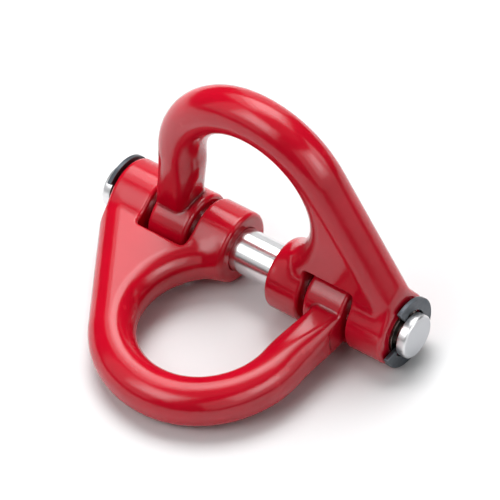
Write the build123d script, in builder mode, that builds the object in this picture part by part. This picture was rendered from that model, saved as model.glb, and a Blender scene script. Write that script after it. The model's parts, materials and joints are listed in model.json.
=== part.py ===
"""Hinged double ring link: two forged eye links on one hinge pin, held by two retaining clips.

Every part is made where it sits in the assembly.  The origin is the middle of the hinge pin,
+X runs along the pin, +Z is up.  The two links are the same forging: each has a fork of two
knuckles at one end of the pin and a single tongue knuckle at the other, and the tongue of
each sits in the fork of its twin.  The lower link lies on a level surface, on its knuckles
and on the end of its eye, and the upper link stands up from the pin.
All sizes are in millimetres and degrees.
"""

from build123d import *

import os
from math import acos, asin, atan2, cos, degrees, hypot, radians, sin

# Round bar and eye of each link, in the link's own plane: X along the pin, Y out to the eye
BAR_DIAMETER = 10.5
EYE_CENTRE_X = 0.8
EYE_CENTRE_Y = 21.6
EYE_RING_RADIUS = 20.2
OUTER_LEG_FOOT_X = -36.8
OUTER_LEG_START_Y = 4.0
INNER_RING_DIAMETER = 10.1
INNER_RING_START = 125.0
INNER_RING_END = 240.0
WEB_THICKNESS = 9.9

# Knuckles, measured along the pin from the middle of the assembly
KNUCKLE_DIAMETER = 16.5
FORK_OUTER_END = 36.5
FORK_INNER_END = 5.6
SLOT_CENTRE = 20.65
SLOT_WIDTH = 12.5
SLOT_DEPTH = 9.4
SLOT_FLOOR_RADIUS = 1.0
TONGUE_WIDTH = 10.0
KNUCKLE_RIM_RADIUS = 0.9
BORE_CLEARANCE = 0.05

# Root of the inner leg, where the round bar flattens into the tongue
ROOT_START_X = 20.95
ROOT_START_Y = 22.0
ROOT_START_SIZE = 10.3
ROOT_START_CORNER = 5.1
ROOT_END_X = 22.1
ROOT_END_Y = 5.0
ROOT_END_WIDTH = 7.8
ROOT_END_HEIGHT = 9.6
ROOT_END_CORNER = 1.5
TONGUE_FACING_RADIUS = 11.7

# Hinge pin with a clip groove near each end
PIN_DIAMETER = 10.0
PIN_LENGTH = 80.6
PIN_CHAMFER = 0.6
GROOVE_DIAMETER = 8.0
GROOVE_WIDTH = 1.2

# Retaining clips, pressed on from the side
CLIP_OUTER_DIAMETER = 16.3
CLIP_THICKNESS = 1.0
CLIP_FACE = 38.05
CLIP_MOUTH_INNER = 2.8
CLIP_MOUTH_OUTER = 12.7
CLIP_CRESCENT_WIDTH = 1.4
CLIP_CRESCENT_START = 66.0
CLIP_CRESCENT_SWEEP = 73.0
LEFT_CLIP_MOUTH_ANGLE = 9.0
RIGHT_CLIP_MOUTH_ANGLE = 29.0
CLIP_GRIP = 0.02

# How the assembly stands
FOLD_ANGLE = 94.7

BAR_RADIUS = BAR_DIAMETER / 2
KNUCKLE_RADIUS = KNUCKLE_DIAMETER / 2
EYE_END_Y = EYE_CENTRE_Y + EYE_RING_RADIUS
REST_TILT = degrees(asin((KNUCKLE_RADIUS - BAR_RADIUS) / EYE_END_Y))


def link_plane(pin_direction, tilt):
    """Middle plane of a link: X along the pin, Y from the pin out to the eye."""
    eye_direction = Vector(0, -cos(radians(tilt)), sin(radians(tilt)))
    return Plane(
        origin=(0, 0, 0),
        x_dir=(pin_direction, 0, 0),
        z_dir=Vector(pin_direction, 0, 0).cross(eye_direction),
    )


def tangent_angle(foot_x, side):
    """Angle round the eye centre where a leg from (foot_x, 0) touches the ring's centre line."""
    reach_x = foot_x - EYE_CENTRE_X
    distance = hypot(reach_x, EYE_CENTRE_Y)
    to_foot = degrees(atan2(-EYE_CENTRE_Y, reach_x))
    return to_foot + side * degrees(acos(EYE_RING_RADIUS / distance))


def ring_point(angle):
    """Point on the eye ring's centre line, in the link's own plane."""
    return (
        EYE_CENTRE_X + EYE_RING_RADIUS * cos(radians(angle)),
        EYE_CENTRE_Y + EYE_RING_RADIUS * sin(radians(angle)),
    )


def add_bar(plane):
    """Round bar: up the straight outer leg and round the end of the eye to the inner leg."""
    outer_angle = tangent_angle(OUTER_LEG_FOOT_X, -1)
    inner_angle = tangent_angle(SLOT_CENTRE, 1)
    outer_touch = ring_point(outer_angle)
    leg_slope = (outer_touch[0] - OUTER_LEG_FOOT_X) / outer_touch[1]
    leg_start = (OUTER_LEG_FOOT_X + leg_slope * OUTER_LEG_START_Y, OUTER_LEG_START_Y)
    arc_size = (outer_angle - inner_angle) % 360
    with BuildLine(plane) as path:
        Line(leg_start, outer_touch)
        CenterArc((EYE_CENTRE_X, EYE_CENTRE_Y), EYE_RING_RADIUS, outer_angle, -arc_size)
    with BuildSketch(Plane(origin=path.line @ 0, z_dir=path.line % 0)) as section:
        Circle(BAR_RADIUS)
    sweep(section.sketch, path=path.line)
    return leg_start, outer_touch


def add_inner_ring(plane):
    """Rounded inner edge of the web, which closes the eye beside the fork."""
    with BuildLine(plane) as path:
        CenterArc(
            (EYE_CENTRE_X, EYE_CENTRE_Y),
            EYE_RING_RADIUS,
            INNER_RING_START,
            INNER_RING_END - INNER_RING_START,
        )
    with BuildSketch(Plane(origin=path.line @ 0, z_dir=path.line % 0)) as section:
        Circle(INNER_RING_DIAMETER / 2)
    sweep(section.sketch, path=path.line)


def add_web(plane, leg_start, outer_touch):
    """Flat web between the outer leg, the eye and the fork."""
    ring_end = ring_point(INNER_RING_END)
    with BuildSketch(plane) as outline:
        Polygon(leg_start, outer_touch, (EYE_CENTRE_X, EYE_CENTRE_Y), ring_end, align=None)
        with Locations((EYE_CENTRE_X, EYE_CENTRE_Y)):
            Circle(EYE_RING_RADIUS, mode=Mode.SUBTRACT)
    extrude(outline.sketch, amount=WEB_THICKNESS / 2, both=True)


def add_knuckle(plane, start, width):
    """Round knuckle on the pin axis, with rounded rims."""
    with BuildSketch(plane) as half_section:
        with Locations((start, 0)):
            Rectangle(width, KNUCKLE_RADIUS, align=(Align.MIN, Align.MIN))
        rim_corners = half_section.vertices().group_by(Axis.Y)[-1]
        fillet(rim_corners, radius=KNUCKLE_RIM_RADIUS)
    revolve(half_section.sketch, axis=Axis((0, 0, 0), plane.x_dir))


def add_tongue_root(plane):
    """Root of the inner leg: the round bar flattens as it runs into the tongue."""
    sections = []
    for x, y, width, height, corner in (
        (ROOT_START_X, ROOT_START_Y, ROOT_START_SIZE, ROOT_START_SIZE, ROOT_START_CORNER),
        (ROOT_END_X, ROOT_END_Y, ROOT_END_WIDTH, ROOT_END_HEIGHT, ROOT_END_CORNER),
    ):
        origin = plane.from_local_coords((x, y, 0))
        across = Plane(origin=origin, x_dir=plane.x_dir, z_dir=plane.y_dir)
        with BuildSketch(across) as section:
            RectangleRounded(width, height, corner)
        sections.append(section.sketch)
    loft(sections)


def face_tongue(plane):
    """Machined outer face of the tongue, which leaves a step in the inner leg."""
    tongue_end = SLOT_CENTRE + TONGUE_WIDTH / 2
    across = Plane(origin=plane.from_local_coords((tongue_end, 0, 0)), z_dir=plane.x_dir)
    with BuildSketch(across) as facing:
        Circle(TONGUE_FACING_RADIUS)
    extrude(facing.sketch, amount=BAR_DIAMETER, mode=Mode.SUBTRACT)


def cut_slot(plane):
    """Fork slot, square to the pin, with a straight floor and rounded corners."""
    with BuildSketch(plane) as slot:
        with Locations((-SLOT_CENTRE, SLOT_DEPTH - KNUCKLE_DIAMETER)):
            RectangleRounded(SLOT_WIDTH, 2 * KNUCKLE_DIAMETER, SLOT_FLOOR_RADIUS)
    extrude(slot.sketch, amount=KNUCKLE_DIAMETER, both=True, mode=Mode.SUBTRACT)


def cut_outer_end(plane):
    """Flat end of the fork, which the retaining clip faces."""
    with BuildSketch(plane) as waste:
        with Locations((-FORK_OUTER_END, 0)):
            Rectangle(BAR_DIAMETER, 4 * KNUCKLE_DIAMETER, align=(Align.MAX, Align.CENTER))
    extrude(waste.sketch, amount=KNUCKLE_DIAMETER, both=True, mode=Mode.SUBTRACT)


def cut_bore(plane):
    """Pin bore through the fork and the tongue."""
    across = Plane(origin=plane.from_local_coords((-PIN_LENGTH / 2, 0, 0)), z_dir=plane.x_dir)
    with BuildSketch(across) as bore:
        Circle(PIN_DIAMETER / 2 + BORE_CLEARANCE)
    extrude(bore.sketch, amount=PIN_LENGTH, mode=Mode.SUBTRACT)


def forge_link(plane):
    """One forged link, in the place that its middle plane gives."""
    with BuildPart() as link:
        leg_start, outer_touch = add_bar(plane)
        add_inner_ring(plane)
        add_web(plane, leg_start, outer_touch)
        cut_slot(plane)
        cut_outer_end(plane)
        slot_outer_side = SLOT_CENTRE + SLOT_WIDTH / 2
        slot_inner_side = SLOT_CENTRE - SLOT_WIDTH / 2
        add_knuckle(plane, -FORK_OUTER_END, FORK_OUTER_END - slot_outer_side)
        add_knuckle(plane, -slot_inner_side, slot_inner_side - FORK_INNER_END)
        add_knuckle(plane, SLOT_CENTRE - TONGUE_WIDTH / 2, TONGUE_WIDTH)
        add_tongue_root(plane)
        face_tongue(plane)
        cut_bore(plane)
    return link


def turn_pin():
    """Hinge pin with a chamfer and a clip groove at each end."""
    with BuildPart() as pin:
        with BuildSketch(Plane.YZ.offset(-PIN_LENGTH / 2)):
            Circle(PIN_DIAMETER / 2)
        extrude(amount=PIN_LENGTH)
        end_edges = pin.edges().filter_by(GeomType.CIRCLE)
        chamfer(end_edges, length=PIN_CHAMFER)
        groove_middle = CLIP_FACE - CLIP_THICKNESS / 2
        for side in (-1, 1):
            with BuildSketch(Plane.YZ.offset(side * groove_middle)):
                Circle(PIN_DIAMETER)
                Circle(GROOVE_DIAMETER / 2, mode=Mode.SUBTRACT)
            extrude(amount=GROOVE_WIDTH / 2, both=True, mode=Mode.SUBTRACT)
    return pin


def stamp_clip(side, mouth_angle):
    """Retaining clip of flat spring steel, open on one side, seated in a pin groove."""
    outer_radius = CLIP_OUTER_DIAMETER / 2
    inner_radius = GROOVE_DIAMETER / 2 + CLIP_GRIP
    crescent_radius = inner_radius + CLIP_CRESCENT_WIDTH / 2
    face = Plane(
        origin=(side * (CLIP_FACE - CLIP_THICKNESS), 0, 0),
        x_dir=(0, -cos(radians(mouth_angle)), sin(radians(mouth_angle))),
        z_dir=(side, 0, 0),
    )
    crescents = [
        CenterArc((0, 0), crescent_radius, start, CLIP_CRESCENT_SWEEP)
        for start in (CLIP_CRESCENT_START, -CLIP_CRESCENT_START - CLIP_CRESCENT_SWEEP)
    ]
    with BuildPart() as clip:
        with BuildSketch(face):
            Circle(outer_radius)
            Circle(inner_radius, mode=Mode.SUBTRACT)
            Polygon(
                (0, -CLIP_MOUTH_INNER / 2),
                (outer_radius, -CLIP_MOUTH_OUTER / 2),
                (outer_radius, CLIP_MOUTH_OUTER / 2),
                (0, CLIP_MOUTH_INNER / 2),
                align=None,
                mode=Mode.SUBTRACT,
            )
            for crescent in crescents:
                SlotArc(crescent, CLIP_CRESCENT_WIDTH, mode=Mode.SUBTRACT)
        extrude(amount=CLIP_THICKNESS)
    return clip


os.makedirs("parts", exist_ok=True)

lower_link = forge_link(link_plane(1, -REST_TILT))
lower_link.part.label = "lower_link"
export_step(lower_link.part, "parts/lower_link.step")

upper_link = forge_link(link_plane(-1, FOLD_ANGLE - REST_TILT))
upper_link.part.label = "upper_link"
export_step(upper_link.part, "parts/upper_link.step")

hinge_pin = turn_pin()
hinge_pin.part.label = "hinge_pin"
export_step(hinge_pin.part, "parts/hinge_pin.step")

left_retaining_clip = stamp_clip(-1, LEFT_CLIP_MOUTH_ANGLE)
left_retaining_clip.part.label = "left_retaining_clip"
export_step(left_retaining_clip.part, "parts/left_retaining_clip.step")

right_retaining_clip = stamp_clip(1, RIGHT_CLIP_MOUTH_ANGLE)
right_retaining_clip.part.label = "right_retaining_clip"
export_step(right_retaining_clip.part, "parts/right_retaining_clip.step")
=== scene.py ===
import json
import math

import bmesh
import bpy
import numpy as np
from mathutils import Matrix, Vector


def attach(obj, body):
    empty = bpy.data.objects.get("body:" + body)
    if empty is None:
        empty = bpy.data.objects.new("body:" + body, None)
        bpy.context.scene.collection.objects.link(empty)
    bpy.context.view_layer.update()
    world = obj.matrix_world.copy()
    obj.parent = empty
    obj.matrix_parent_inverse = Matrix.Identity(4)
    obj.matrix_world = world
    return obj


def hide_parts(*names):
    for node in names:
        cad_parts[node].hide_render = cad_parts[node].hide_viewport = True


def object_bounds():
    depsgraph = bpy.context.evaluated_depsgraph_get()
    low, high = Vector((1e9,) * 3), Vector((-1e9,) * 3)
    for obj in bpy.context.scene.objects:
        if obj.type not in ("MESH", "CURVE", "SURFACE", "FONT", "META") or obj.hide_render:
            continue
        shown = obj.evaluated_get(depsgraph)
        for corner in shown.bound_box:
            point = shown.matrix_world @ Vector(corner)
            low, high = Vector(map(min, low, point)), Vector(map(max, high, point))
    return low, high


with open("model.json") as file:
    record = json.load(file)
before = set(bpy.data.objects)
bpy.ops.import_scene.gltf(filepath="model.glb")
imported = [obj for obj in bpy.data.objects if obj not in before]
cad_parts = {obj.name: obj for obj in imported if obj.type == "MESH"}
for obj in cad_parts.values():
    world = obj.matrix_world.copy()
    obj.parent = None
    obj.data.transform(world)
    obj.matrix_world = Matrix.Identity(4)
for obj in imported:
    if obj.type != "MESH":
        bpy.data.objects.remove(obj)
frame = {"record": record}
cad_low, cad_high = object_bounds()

import openvdb
from mathutils import Matrix, Vector

MM = 0.001
mounts = {mount["name"]: mount for mount in frame["record"]["mounts"]}

# The forging of both links, in millimetres, in its own frame: U along the pin with the fork
# at -U and the tongue at +U, V from the pin out to the eye, Z through the thickness
EYE_U = 0.8
EYE_V = 21.6
RING_RADIUS = 20.2
BAR_RADIUS = 5.25
KNUCKLE_RADIUS = 8.25
RIM_RADIUS = 1.2
BORE_RADIUS = 5.05
BORE_EDGE = 0.35

# Shoulder, where the ring draws in to the inner leg, between two angles round the eye
SHOULDER_SHIFT = 0.35
SHOULDER_START = 80.0
SHOULDER_END = 25.0
LEG_RADIUS = 5.2

# Flat web, from the foot of the outer leg to its edge beside the fork's inner ear
LEG_FOOT_U = -36.8
WEB_INNER_U = -10.65

# Fork and its slot
FORK_OUTER_END = 36.5
FORK_INNER_END = 5.6
FORK_FILLET = 1.8
SLOT_CENTRE = 20.65
SLOT_WIDTH = 12.5
SLOT_DEPTH = 9.4
SLOT_EDGE = 0.8
SLOT_FLOOR_FILLET = 1.0

# Tongue, and its root at the foot of the inner leg
TONGUE_START = 15.65
TONGUE_END = 25.65
TONGUE_FILLET = 0.5
ROOT_END_V = 5.0
ROOT_END_U = 22.15
ROOT_END_HALF_WIDTH = 3.9
ROOT_END_HALF_HEIGHT = 4.6
ROOT_END_CORNER = 2.0
FACING_RADIUS = 11.7
FACING_EDGE = 0.3

# Hinge pin and retaining clips, in millimetres
PIN_RADIUS = 5.0
PIN_HALF_LENGTH = 40.3
PIN_END_ROUND = 0.6
PIN_FACE_RING = 2.5
GROOVE_START = 36.95
GROOVE_END = 38.15
GROOVE_RADIUS = 4.0
GROOVE_EDGE = 0.12
CLIP_OUTER_RADIUS = 8.15
CLIP_INNER_RADIUS = 4.02
CLIP_THICKNESS = 1.0
CLIP_FACE = 38.05
CLIP_MOUTH_INNER = 1.4
CLIP_MOUTH_OUTER = 6.35
CLIP_CRESCENT_WIDTH = 1.4
CLIP_CRESCENT_START = 66.0
CLIP_CRESCENT_SWEEP = 73.0
CLIP_EDGE = 0.15
CLIP_MOUTH_EDGE = 0.4
LEFT_CLIP_MOUTH_ANGLE = 9.0
RIGHT_CLIP_MOUTH_ANGLE = 29.0

# Distance that stands for well outside a shape, in millimetres
FAR = KNUCKLE_RADIUS

# How finely the surfaces are made, in millimetres, rounds, counts and degrees
LINK_VOXEL = 0.33
LINK_MARGIN = 1.2
CLIP_VOXEL = 0.1
CLIP_MARGIN = 0.5
SLOPE_STEP = 0.01
LEAST_SLOPE_SQUARED = 0.25
SETTLE_ROUNDS = 4
RELAX_ROUNDS = 6
RELAX_SHARE = 0.5
PIN_SEGMENTS = 160
GROOVE_EDGE_POINTS = 5
PIN_END_POINTS = 9
SHARP_ANGLE = 35.0

# Materials: colours are linear RGBA, and a bend is Pointiness, 0.5 where a surface is flat
NOISE_SPAN = (0.3, 0.7)
COAT_TINTS = [(0.3, (0.44, 0.0008, 0.012, 1.0)), (0.7, (0.495, 0.0015, 0.016, 1.0))]
# Painted shade: a dark red mixed into the creases of the coat, where shade falls
COAT_CREASE_SHADE = (0.16, 0.0, 0.004, 1.0)
COAT_CREASE_SHADE_SHARE = 0.6
COAT_THIN = (0.60, 0.02, 0.035, 1.0)
COAT_THIN_SHARE = 0.35
COAT_CREASE_BEND = (0.498, 0.480)
COAT_EDGE_BEND = (0.512, 0.535)
COAT_ROUGHNESS = (0.13, 0.20)
COAT_IOR = 1.52
STEEL_BRIGHT = (0.80, 0.80, 0.81, 1.0)
# Grease and painted shade: a dark colour on the pin from the fork into the clip groove
STEEL_GREASE_AND_SHADE = (0.13, 0.11, 0.10, 1.0)
STEEL_TURNED = (0.50, 0.51, 0.53, 1.0)
STEEL_ROUGHNESS = (0.14, 0.28)
STEEL_FACE_ROUGHER = 0.2
STEEL_HEAD_SHARE = 0.6
STEEL_GRIME_RELIEF = 3.0
STEEL_MARKS_STRETCH = (9000.0, 60.0, 60.0)
CLIP_TINTS = [(0.0, (0.054, 0.062, 0.073, 1.0)), (1.0, (0.100, 0.113, 0.130, 1.0))]
CLIP_RUBBED = (0.33, 0.33, 0.34, 1.0)
CLIP_RUBBED_SHARE = 0.5
CLIP_EDGE_BEND = (0.52, 0.60)
CLIP_ROUGHNESS = (0.34, 0.5)
CLIP_METALLIC = 0.8
FLOOR_COLOR = (0.71, 0.71, 0.715, 1.0)
FLOOR_ROUGHNESS = 0.6
FLOOR_SPECULAR = 0.2

# Places along the pin where its finish changes, in millimetres from its middle
# The grease band is grease and painted shade, dark where the pin sits in shade between the fork
# and the clip
GREASE_SHADE_START = FORK_OUTER_END - 0.6
GREASE_SHADE_FULL = FORK_OUTER_END - 0.2
GREASE_SHADE_END = GROOVE_END - 0.05
HEAD_BRIGHT = GROOVE_END + 0.05
HEAD_DULL_START = GROOVE_END - 0.1
FACE_START = PIN_HALF_LENGTH - 0.2
FACE_FULL = PIN_HALF_LENGTH - 0.02

# Studio: each softbox by its name, the azimuth and elevation it stands at, its half width and
# half height in degrees as seen from the object, and its brightness
FLOOR_SIZE = 3.0
SOFTBOX_DISTANCE = 1.5
SOFTBOXES = [
    ("back_core", -157.0, 57.0, 13.0, 13.0, 2.0),
    ("back_box", -153.0, 58.0, 19.0, 19.0, 2.0),
    ("back_glow", -146.0, 60.0, 28.0, 24.0, 1.3),
    ("back_low", -157.0, 16.0, 15.0, 15.0, 0.8),
    ("front_core", -20.0, 48.0, 12.0, 11.0, 2.0),
    ("front_box", -21.0, 48.0, 19.0, 18.0, 1.8),
    ("front_glow", -40.0, 36.0, 26.0, 26.0, 0.6),
    ("right_core", 87.0, 38.0, 11.0, 9.0, 2.4),
    ("right_box", 84.0, 37.0, 24.0, 14.0, 1.6),
    ("right_glow", 80.0, 30.0, 44.0, 22.0, 0.8),
    ("right_far", 127.0, 36.0, 8.0, 13.0, 1.6),
    ("top_glow", 60.0, 88.0, 22.0, 22.0, 0.2),
]
KEY = ("key", -130.0, 66.0, 15.0, 15.0, 7.0)
REFLECTION_ONLY = ("right_box", "right_glow")
WORLD_COLOR = (1.0, 1.0, 1.0, 1.0)
WORLD_STRENGTH = 0.05

# Camera, by the direction it looks from, in degrees and metres
CAMERA_AZIMUTH = 39.17
CAMERA_ELEVATION = 46.25
CAMERA_ROLL = -3.62
CAMERA_DISTANCE = 1.0449
CAMERA_TARGET = (-0.0033, -0.0005, 0.0015)
CAMERA_LENS = 351.36
CAMERA_NEAR = 0.05
CAMERA_FAR = 20.0


# Shapes of the link and the clip, as signed distances in millimetres, negative inside


def smoothstep(t):
    t = np.clip(t, 0.0, 1.0)
    return t * t * (3.0 - 2.0 * t)


def blend_union(a, b, size):
    """Union of two distance fields with a soft fillet of about that size in the corner."""
    share = np.clip(0.5 + 0.5 * (b - a) / size, 0.0, 1.0)
    return b + (a - b) * share - size * share * (1.0 - share)


def round_cut(a, b, radius):
    """Intersection of two distance fields with the edge rounded to that radius."""
    rounded = np.hypot(np.maximum(radius + a, 0.0), np.maximum(radius + b, 0.0))
    return np.minimum(-radius, np.maximum(a, b)) + rounded


def web_outline(u, v):
    """Distance outside the flat area between the outer leg, the eye ring and the pin."""
    reach = LEG_FOOT_U - EYE_U
    to_foot = math.atan2(-EYE_V, reach)
    touch = to_foot - math.acos(RING_RADIUS / math.hypot(reach, EYE_V))
    normal_u, normal_v = math.cos(touch), math.sin(touch)
    past_leg = (u - LEG_FOOT_U) * normal_u + v * normal_v
    past_touch = (u - EYE_U) * normal_v - (v - EYE_V) * normal_u
    leg_end = np.hypot(np.maximum(past_leg, 0.0), np.maximum(past_touch, 0.0))
    leg_side = np.where(np.maximum(past_leg, past_touch) > 0.0, leg_end, past_leg)
    inside_ring = RING_RADIUS - np.hypot(u - EYE_U, v - EYE_V)
    corner_v = EYE_V - math.sqrt(RING_RADIUS**2 - (WEB_INNER_U - EYE_U) ** 2)
    past_corner = np.hypot(u - WEB_INNER_U, v - corner_v)
    ring_slope = (corner_v - EYE_V) / (WEB_INNER_U - EYE_U)
    over_ring = (v - EYE_V) > ring_slope * (u - EYE_U)
    ear_side = np.where(v > corner_v, past_corner, u - WEB_INNER_U)
    ring_side = np.where(over_ring, inside_ring, ear_side)
    return np.maximum(np.maximum(leg_side, ring_side), -v)


def eye_arc(u, v, z):
    """Round bar over the end of the eye, drawn in a little at the shoulder of the inner leg."""
    angle = np.degrees(np.arctan2(v - EYE_V, u - EYE_U))
    share = smoothstep((SHOULDER_START - angle) / (SHOULDER_START - SHOULDER_END))
    line_radius = RING_RADIUS - SHOULDER_SHIFT * share
    off_line = np.hypot(u - EYE_U, v - EYE_V) - line_radius
    bar = np.hypot(off_line, z) - (BAR_RADIUS + (LEG_RADIUS - BAR_RADIUS) * share)
    return np.where(v >= EYE_V, bar, FAR)


def inner_leg(u, v, z):
    """Inner leg, which flattens from the round bar into the root of the tongue."""
    share = smoothstep((EYE_V - v) / (EYE_V - ROOT_END_V))
    start_u = EYE_U + RING_RADIUS - SHOULDER_SHIFT
    centre = start_u + (ROOT_END_U - start_u) * share
    half_width = LEG_RADIUS + (ROOT_END_HALF_WIDTH - LEG_RADIUS) * share
    half_height = LEG_RADIUS + (ROOT_END_HALF_HEIGHT - LEG_RADIUS) * share
    corner = LEG_RADIUS + (ROOT_END_CORNER - LEG_RADIUS) * share
    past_u = np.abs(u - centre) - half_width + corner
    past_z = np.abs(z) - half_height + corner
    outside = np.hypot(np.maximum(past_u, 0.0), np.maximum(past_z, 0.0))
    leg = outside + np.minimum(np.maximum(past_u, past_z), 0.0) - corner
    return np.maximum(np.where(v < EYE_V, leg, FAR), -v)


def fork(u, v, z):
    """Web and outer leg with the two ears of the fork."""
    plate = np.hypot(np.maximum(web_outline(u, v), 0.0), z) - BAR_RADIUS
    ears = np.hypot(v, z) - KNUCKLE_RADIUS
    solid = blend_union(plate, ears, FORK_FILLET)
    solid = round_cut(solid, u + FORK_INNER_END, RIM_RADIUS)
    solid = round_cut(solid, -FORK_OUTER_END - u, RIM_RADIUS)
    beside_slot = np.abs(u + SLOT_CENTRE) - SLOT_WIDTH / 2
    slot = round_cut(beside_slot, v - SLOT_DEPTH, SLOT_FLOOR_FILLET)
    return round_cut(solid, -slot, SLOT_EDGE)


def tongue(u, v, z):
    """Single knuckle that runs in the fork of the other link, with its root in the inner leg."""
    middle = (TONGUE_START + TONGUE_END) / 2
    around = np.hypot(v, z)
    along = np.abs(u - middle) - (TONGUE_END - TONGUE_START) / 2
    knuckle = round_cut(around - KNUCKLE_RADIUS, along, RIM_RADIUS)
    solid = blend_union(knuckle, inner_leg(u, v, z), TONGUE_FILLET)
    faced_off = np.minimum(u - TONGUE_END, FACING_RADIUS - around)
    return round_cut(solid, faced_off, FACING_EDGE)


def link_distance(u, v, z):
    """Signed distance to the surface of one forged link."""
    solid = np.minimum(fork(u, v, z), np.minimum(eye_arc(u, v, z), tongue(u, v, z)))
    return round_cut(solid, BORE_RADIUS - np.hypot(v, z), BORE_EDGE)


def clip_distance(u, v, z):
    """Signed distance to an open retaining clip, its mouth towards +U."""
    around = np.hypot(u, v)
    ring = np.maximum(around - CLIP_OUTER_RADIUS, CLIP_INNER_RADIUS - around)
    mouth_slope = (CLIP_MOUTH_OUTER - CLIP_MOUTH_INNER) / CLIP_OUTER_RADIUS
    flare = math.hypot(1.0, mouth_slope)
    beside_mouth = (np.abs(v) - CLIP_MOUTH_INNER - mouth_slope * u) / flare
    flat = round_cut(ring, np.minimum(-beside_mouth, u), CLIP_MOUTH_EDGE)
    middle = math.radians(CLIP_CRESCENT_START + CLIP_CRESCENT_SWEEP / 2)
    half_sweep = math.radians(CLIP_CRESCENT_SWEEP / 2)
    off_middle = np.abs(np.abs(np.arctan2(v, u)) - middle)
    crescent_line = CLIP_INNER_RADIUS + CLIP_CRESCENT_WIDTH / 2
    past_end = np.maximum(off_middle - half_sweep, 0.0) * crescent_line
    crescent = np.hypot(around - crescent_line, past_end) - CLIP_CRESCENT_WIDTH / 2
    flat = np.maximum(flat, -crescent)
    return round_cut(flat, np.abs(z) - CLIP_THICKNESS / 2, CLIP_EDGE)


# Meshes from the distances


def gradient(distance, points):
    """Direction in which the distance grows, at each point."""
    slopes = []
    for axis in range(3):
        ahead, behind = points.copy(), points.copy()
        ahead[:, axis] += SLOPE_STEP
        behind[:, axis] -= SLOPE_STEP
        slopes.append((distance(*ahead.T) - distance(*behind.T)) / (2 * SLOPE_STEP))
    return np.stack(slopes, axis=1)


def settle(distance, points):
    """Moves each point onto the exact surface."""
    for _ in range(SETTLE_ROUNDS):
        slope = gradient(distance, points)
        size = np.maximum((slope**2).sum(axis=1), LEAST_SLOPE_SQUARED)
        points = points - slope * (distance(*points.T) / size)[:, None]
    return points


def relax(distance, points, quads):
    """Evens out the mesh along the surface, and keeps it on the surface."""
    ends = np.concatenate([quads[:, [0, 1]], quads[:, [1, 2]], quads[:, [2, 3]], quads[:, [3, 0]]])
    count = np.bincount(ends.ravel(), minlength=len(points)).astype(float)
    for _ in range(RELAX_ROUNDS):
        total = np.zeros_like(points)
        for axis in range(3):
            total[:, axis] += np.bincount(ends[:, 0], points[ends[:, 1], axis], len(points))
            total[:, axis] += np.bincount(ends[:, 1], points[ends[:, 0], axis], len(points))
        points = points + RELAX_SHARE * (total / count[:, None] - points)
        points = settle(distance, points)
    return points


def link_object(name, mesh):
    """New object in the scene with that mesh."""
    piece = bpy.data.objects.new(name, mesh)
    bpy.context.scene.collection.objects.link(piece)
    return piece


def skin(distance, low, high, voxel, placements):
    """Meshes of one distance field, one for each placement of it in the shared frame."""
    axes = [np.arange(a, b + voxel, voxel) for a, b in zip(low, high)]
    field = distance(*np.meshgrid(*axes, indexing="ij")).astype(np.float32)
    grid = openvdb.FloatGrid(FAR)
    grid.copyFromArray(field)
    cells, quads = grid.convertToQuads(isovalue=0.0)
    points = np.array([axis[0] for axis in axes]) + cells.astype(float) * voxel
    quads = quads.astype(int)
    points = relax(distance, settle(distance, points), quads)
    normals = gradient(distance, points)
    normals /= np.linalg.norm(normals, axis=1)[:, None]
    a, b, c = points[quads[:, 0]], points[quads[:, 1]], points[quads[:, 2]]
    outward = (np.cross(b - a, c - a) * normals[quads[:, 0]]).sum()
    if outward < 0:
        quads = quads[:, ::-1]
    made = []
    for name, turn, origin in placements:
        mesh = bpy.data.meshes.new(name)
        mesh.from_pydata(((points @ turn.T) * MM + origin).tolist(), [], quads.tolist())
        mesh.shade_smooth()
        mesh.normals_split_custom_set_from_vertices((normals @ turn.T).tolist())
        made.append(link_object(name, mesh))
    return made


# Materials


def node_input(node, name, value):
    node.inputs[name].default_value = value


def new_material(name):
    """New material with its node tree and its Principled shader."""
    material = bpy.data.materials.new(name)
    material.use_nodes = True
    tree = material.node_tree
    return material, tree, tree.nodes["Principled BSDF"]


def add_node(tree, kind, **values):
    node = tree.nodes.new(kind)
    for name, value in values.items():
        setattr(node, name, value)
    return node


def math_node(tree, operation, *values):
    """Output of a Math node that takes other outputs or plain numbers, in that order."""
    node = add_node(tree, "ShaderNodeMath", operation=operation)
    for socket, value in zip(node.inputs, values):
        if isinstance(value, bpy.types.NodeSocket):
            tree.links.new(value, socket)
        else:
            socket.default_value = value
    return node.outputs["Value"]


def map_range(tree, value, from_range, to_range=(0.0, 1.0)):
    """Output that carries a value from one range over to another, and stops at its ends."""
    node = add_node(tree, "ShaderNodeMapRange")
    node_input(node, "From Min", from_range[0])
    node_input(node, "From Max", from_range[1])
    node_input(node, "To Min", to_range[0])
    node_input(node, "To Max", to_range[1])
    tree.links.new(value, node.inputs["Value"])
    return node.outputs["Result"]


def noise(tree, place, scale, detail):
    """Noise over the object, at that many cells to the metre."""
    node = add_node(tree, "ShaderNodeTexNoise")
    node_input(node, "Scale", scale)
    node_input(node, "Detail", detail)
    tree.links.new(place, node.inputs["Vector"])
    return node.outputs["Fac"]


def color_ramp(tree, share, stops):
    """Colour that runs through the stops, each a position and a colour."""
    node = add_node(tree, "ShaderNodeValToRGB")
    elements = node.color_ramp.elements
    for position, _ in stops[2:]:
        elements.new(position)
    for element, (position, color) in zip(elements, stops):
        element.position = position
        element.color = color
    tree.links.new(share, node.inputs["Fac"])
    return node.outputs["Color"]


def mix_color(tree, share, one, two):
    """Mix of a colour output and a fixed colour."""
    node = add_node(tree, "ShaderNodeMix", data_type="RGBA")
    tree.links.new(share, node.inputs["Factor"])
    tree.links.new(one, node.inputs["A"])
    node_input(node, "B", two)
    return node.outputs["Result"]


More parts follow.
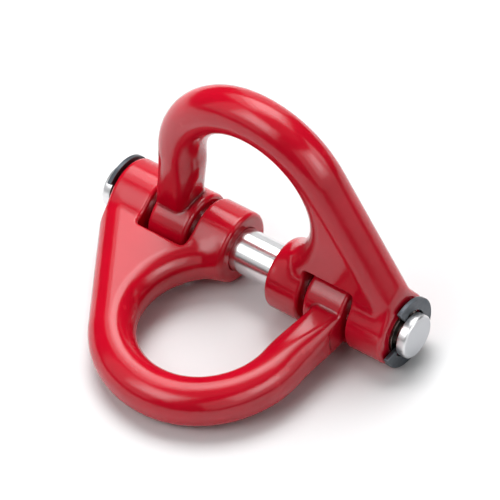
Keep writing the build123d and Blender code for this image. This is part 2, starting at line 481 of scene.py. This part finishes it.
def bump(tree, height, strength, depth, under=None):
    """Normals of a relief of that depth in metres, laid over another bump's if given."""
    node = add_node(tree, "ShaderNodeBump")
    node_input(node, "Strength", strength)
    node_input(node, "Distance", depth)
    tree.links.new(height, node.inputs["Height"])
    if under is not None:
        tree.links.new(under, node.inputs["Normal"])
    return node.outputs["Normal"]


def powder_coat():
    """Glossy red powder coat: orange peel, colour that drifts, thin on edges, and painted shade
    that darkens its creases.
    """
    material, tree, shader = new_material("red_powder_coat")
    link = tree.links.new
    place = add_node(tree, "ShaderNodeTexCoord").outputs["Object"]
    bend = add_node(tree, "ShaderNodeNewGeometry").outputs["Pointiness"]
    tint = color_ramp(tree, noise(tree, place, scale=90.0, detail=3.0), COAT_TINTS)
    # Painted shade: the creases are darkened by their Pointiness
    in_shaded_crease = map_range(tree, bend, COAT_CREASE_BEND, (0.0, COAT_CREASE_SHADE_SHARE))
    on_edge = map_range(tree, bend, COAT_EDGE_BEND, (0.0, COAT_THIN_SHARE))
    crease_shaded = mix_color(tree, in_shaded_crease, tint, COAT_CREASE_SHADE)
    link(mix_color(tree, on_edge, crease_shaded, COAT_THIN), shader.inputs["Base Color"])
    patches = noise(tree, place, scale=250.0, detail=4.0)
    link(map_range(tree, patches, NOISE_SPAN, COAT_ROUGHNESS), shader.inputs["Roughness"])

    waves = noise(tree, place, scale=180.0, detail=1.0)
    peel = noise(tree, place, scale=900.0, detail=2.0)
    wavy = bump(tree, waves, strength=0.5, depth=0.0001)
    link(bump(tree, peel, strength=0.4, depth=0.00003, under=wavy), shader.inputs["Normal"])
    node_input(shader, "IOR", COAT_IOR)
    return material


def polished_steel():
    """Bright ground steel with fine marks round the pin, dull grooves darkened with grease and
    painted shade, and turned ends.
    """
    material, tree, shader = new_material("polished_steel")
    link = tree.links.new
    place = add_node(tree, "ShaderNodeTexCoord").outputs["Object"]
    split = add_node(tree, "ShaderNodeSeparateXYZ")
    link(place, split.inputs["Vector"])
    along = math_node(tree, "ABSOLUTE", split.outputs["X"])
    # The dark stops paint grease and shade on the pin between the fork and the clip groove
    finishes = [
        (GREASE_SHADE_START, STEEL_BRIGHT),
        (GREASE_SHADE_FULL, STEEL_GREASE_AND_SHADE),
        (GREASE_SHADE_END, STEEL_GREASE_AND_SHADE),
        (HEAD_BRIGHT, STEEL_BRIGHT),
        (FACE_START, STEEL_BRIGHT),
        (FACE_FULL, STEEL_TURNED),
    ]
    stops = [(reach / PIN_HALF_LENGTH, color) for reach, color in finishes]
    share = map_range(tree, along, (0.0, PIN_HALF_LENGTH * MM))
    link(color_ramp(tree, share, stops), shader.inputs["Base Color"])

    stretch = add_node(tree, "ShaderNodeMapping")
    node_input(stretch, "Scale", STEEL_MARKS_STRETCH)
    link(place, stretch.inputs["Vector"])
    marks = noise(tree, stretch.outputs["Vector"], scale=1.0, detail=4.0)
    on_face = map_range(tree, along, (FACE_START * MM, FACE_FULL * MM))
    head_edge = (HEAD_DULL_START * MM, GROOVE_END * MM)
    on_head = map_range(tree, along, head_edge, (0.0, STEEL_HEAD_SHARE))
    ground = map_range(tree, marks, (0.0, 1.0), STEEL_ROUGHNESS)
    dullness = math_node(tree, "MAXIMUM", on_face, on_head)
    roughness = math_node(tree, "MULTIPLY_ADD", dullness, STEEL_FACE_ROUGHER, ground)
    link(roughness, shader.inputs["Roughness"])

    rings = add_node(tree, "ShaderNodeTexWave", wave_type="RINGS", rings_direction="X")
    node_input(rings, "Scale", 900.0)
    node_input(rings, "Distortion", 0.6)
    link(place, rings.inputs["Vector"])
    turned = math_node(tree, "MULTIPLY", rings.outputs["Fac"], on_face)
    past_fork = map_range(tree, along, (FORK_OUTER_END * MM, GROOVE_END * MM))
    grime = noise(tree, place, scale=1500.0, detail=2.0)
    speckle = math_node(tree, "MULTIPLY", grime, past_fork)
    relief = math_node(tree, "ADD", marks, turned)
    relief = math_node(tree, "MULTIPLY_ADD", speckle, STEEL_GRIME_RELIEF, relief)
    link(bump(tree, relief, strength=0.12, depth=0.00001), shader.inputs["Normal"])
    node_input(shader, "Metallic", 1.0)
    return material


def spring_steel():
    """Dark phosphated spring steel, satin, with a fine mottle and rubbed edges."""
    material, tree, shader = new_material("spring_steel")
    link = tree.links.new
    place = add_node(tree, "ShaderNodeTexCoord").outputs["Object"]
    bend = add_node(tree, "ShaderNodeNewGeometry").outputs["Pointiness"]
    mottle = noise(tree, place, scale=1200.0, detail=5.0)
    on_edge = map_range(tree, bend, CLIP_EDGE_BEND, (0.0, CLIP_RUBBED_SHARE))
    tint = color_ramp(tree, mottle, CLIP_TINTS)
    link(mix_color(tree, on_edge, tint, CLIP_RUBBED), shader.inputs["Base Color"])
    patches = noise(tree, place, scale=400.0, detail=3.0)
    link(map_range(tree, patches, NOISE_SPAN, CLIP_ROUGHNESS), shader.inputs["Roughness"])
    link(bump(tree, mottle, strength=0.3, depth=0.00002), shader.inputs["Normal"])
    node_input(shader, "Metallic", CLIP_METALLIC)
    return material


# Pieces of the object


def dress(piece, body, node, material):
    """Gives a piece its body, the CAD node it stands for and its material."""
    piece.data.materials.append(material)
    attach(piece, body)
    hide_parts(node)


def link_turn(mount):
    """Axes of a link's own frame as columns, from its eye."""
    eye = Vector(mount["pos_m"])
    along = Vector((math.copysign(1.0, eye.x), 0.0, 0.0))
    out = Vector((0.0, eye.y, eye.z)).normalized()
    return np.array([along, out, along.cross(out)]).T


def build_links(material):
    """Both forgings, the same shape placed twice."""
    low_radius = KNUCKLE_RADIUS + LINK_MARGIN
    ring_reach = RING_RADIUS + BAR_RADIUS + LINK_MARGIN
    low = (-FORK_OUTER_END - LINK_MARGIN, -low_radius, -low_radius)
    high = (EYE_U + ring_reach, EYE_V + ring_reach, low_radius)
    origin = (0.0, 0.0, 0.0)
    placements = [
        ("lower_forging", link_turn(mounts["lower_eye"]), origin),
        ("upper_forging", link_turn(mounts["upper_eye"]), origin),
    ]
    lower, upper = skin(link_distance, low, high, LINK_VOXEL, placements)
    dress(lower, "lower_link", "lower_link", material)
    dress(upper, "upper_link", "upper_link", material)


def clip_placement(name, side, mouth_angle):
    """Where one clip goes: on its side of the pin, its mouth turned up from the front."""
    mouth = math.radians(mouth_angle)
    mouth_way = np.array((0.0, -math.cos(mouth), math.sin(mouth)))
    out = np.array((side, 0.0, 0.0))
    turn = np.array([mouth_way, np.cross(out, mouth_way), out]).T
    return name, turn, (side * (CLIP_FACE - CLIP_THICKNESS / 2) * MM, 0.0, 0.0)


def build_clips(material):
    """Both retaining clips, the same shape placed twice."""
    reach = CLIP_OUTER_RADIUS + CLIP_MARGIN
    half = CLIP_THICKNESS / 2 + CLIP_MARGIN
    low, high = (-reach, -reach, -half), (reach, reach, half)
    placements = [
        clip_placement("left_clip", -1.0, LEFT_CLIP_MOUTH_ANGLE),
        clip_placement("right_clip", 1.0, RIGHT_CLIP_MOUTH_ANGLE),
    ]
    left, right = skin(clip_distance, low, high, CLIP_VOXEL, placements)
    dress(left, "hinge_pin", "left_retaining_clip", material)
    dress(right, "hinge_pin", "right_retaining_clip", material)


def arc_points(centre_x, centre_r, radius, start, end, count):
    """Points on an arc of the pin's profile, as (distance along the pin, radius)."""
    angles = np.radians(np.linspace(start, end, count))
    return [(centre_x + radius * math.cos(a), centre_r + radius * math.sin(a)) for a in angles]


def pin_profile():
    """Half of the pin's profile, from its middle to the centre of one end face."""
    lip = PIN_RADIUS - GROOVE_EDGE
    end_x, end_r = PIN_HALF_LENGTH - PIN_END_ROUND, PIN_RADIUS - PIN_END_ROUND
    profile = [(0.0, PIN_RADIUS)]
    profile += arc_points(GROOVE_START - GROOVE_EDGE, lip, GROOVE_EDGE, 90, 0, GROOVE_EDGE_POINTS)
    profile += [(GROOVE_START, GROOVE_RADIUS), (GROOVE_END, GROOVE_RADIUS)]
    profile += arc_points(GROOVE_END + GROOVE_EDGE, lip, GROOVE_EDGE, 180, 90, GROOVE_EDGE_POINTS)
    profile += arc_points(end_x, end_r, PIN_END_ROUND, 90, 0, PIN_END_POINTS)
    profile += [(PIN_HALF_LENGTH, PIN_FACE_RING), (PIN_HALF_LENGTH, 0.0)]
    return profile


def build_pin(material):
    """Hinge pin turned from its profile."""
    half = pin_profile()
    profile = [(-x, r) for x, r in reversed(half[1:])] + half[1:]
    angles = [2 * math.pi * i / PIN_SEGMENTS for i in range(PIN_SEGMENTS)]
    built = bmesh.new()
    rings = []
    for x, r in profile:
        around = angles if r > 0.0 else angles[:1]
        places = [(x * MM, r * MM * math.cos(a), r * MM * math.sin(a)) for a in around]
        rings.append([built.verts.new(place) for place in places])
    for one, two in zip(rings, rings[1:]):
        for i in range(PIN_SEGMENTS):
            j = (i + 1) % PIN_SEGMENTS
            corners = [one[i % len(one)], two[i % len(two)], two[j % len(two)], one[j % len(one)]]
            built.faces.new(list(dict.fromkeys(corners)))
    bmesh.ops.recalc_face_normals(built, faces=built.faces)
    mesh = bpy.data.meshes.new("pin")
    built.to_mesh(mesh)
    built.free()
    mesh.shade_smooth()
    mesh.set_sharp_from_angle(angle=math.radians(SHARP_ANGLE))
    pin = link_object("pin", mesh)
    dress(pin, "hinge_pin", "hinge_pin", material)


# Studio


def build_floor():
    """Wide pale floor under the object."""
    bpy.ops.mesh.primitive_plane_add(size=FLOOR_SIZE, location=(0.0, 0.0, cad_low.z))
    floor = bpy.context.object
    floor.name = "floor"
    material, _, shader = new_material("pale_floor")
    node_input(shader, "Base Color", FLOOR_COLOR)
    node_input(shader, "Roughness", FLOOR_ROUGHNESS)
    node_input(shader, "Specular IOR Level", FLOOR_SPECULAR)
    floor.data.materials.append(material)


def view_axis(azimuth, elevation):
    """Direction from the object out to a place seen at that azimuth and elevation."""
    a, e = math.radians(azimuth), math.radians(elevation)
    return Vector((math.sin(a) * math.cos(e), -math.cos(a) * math.cos(e), math.sin(e)))


def add_softbox(name, azimuth, elevation, half_width, half_height, brightness):
    """Softbox that faces the object, its half sizes as angles seen from the object."""
    lamp = bpy.data.lights.new(name, "AREA")
    lamp.shape = "RECTANGLE"
    lamp.size = 2 * SOFTBOX_DISTANCE * math.tan(math.radians(half_width))
    lamp.size_y = 2 * SOFTBOX_DISTANCE * math.tan(math.radians(half_height))
    lamp.energy = brightness * math.pi * lamp.size * lamp.size_y
    holder = link_object(name, lamp)
    out = view_axis(azimuth, elevation)
    holder.location = out * SOFTBOX_DISTANCE
    holder.rotation_mode = "QUATERNION"
    holder.rotation_quaternion = (-out).to_track_quat("-Z", "Y")
    return holder


def build_lights():
    """Softboxes with a brighter middle, two of them only for the gloss, a key and a faint fill."""
    for softbox in SOFTBOXES:
        add_softbox(*softbox)
    for name in REFLECTION_ONLY:
        bpy.data.objects[name].visible_diffuse = False
    key = add_softbox(*KEY)
    key.visible_glossy = False
    world = bpy.data.worlds.new("studio")
    world.use_nodes = True
    background = world.node_tree.nodes["Background"]
    node_input(background, "Color", WORLD_COLOR)
    node_input(background, "Strength", WORLD_STRENGTH)
    bpy.context.scene.world = world


def build_camera():
    """Camera at the reference view."""
    lens = bpy.data.cameras.new("camera")
    lens.lens = CAMERA_LENS
    lens.clip_start = CAMERA_NEAR
    lens.clip_end = CAMERA_FAR
    camera = link_object("camera", lens)
    back = view_axis(CAMERA_AZIMUTH, CAMERA_ELEVATION)
    facing = (-back).to_track_quat("-Z", "Y")
    roll = Matrix.Rotation(math.radians(CAMERA_ROLL), 4, "Z").to_quaternion()
    camera.rotation_mode = "QUATERNION"
    camera.rotation_quaternion = facing @ roll
    camera.location = Vector(CAMERA_TARGET) + back * CAMERA_DISTANCE
    bpy.context.scene.camera = camera


build_links(powder_coat())
build_clips(spring_steel())
build_pin(polished_steel())
build_floor()
build_lights()
build_camera()
bpy.context.scene.view_settings.view_transform = "Standard"
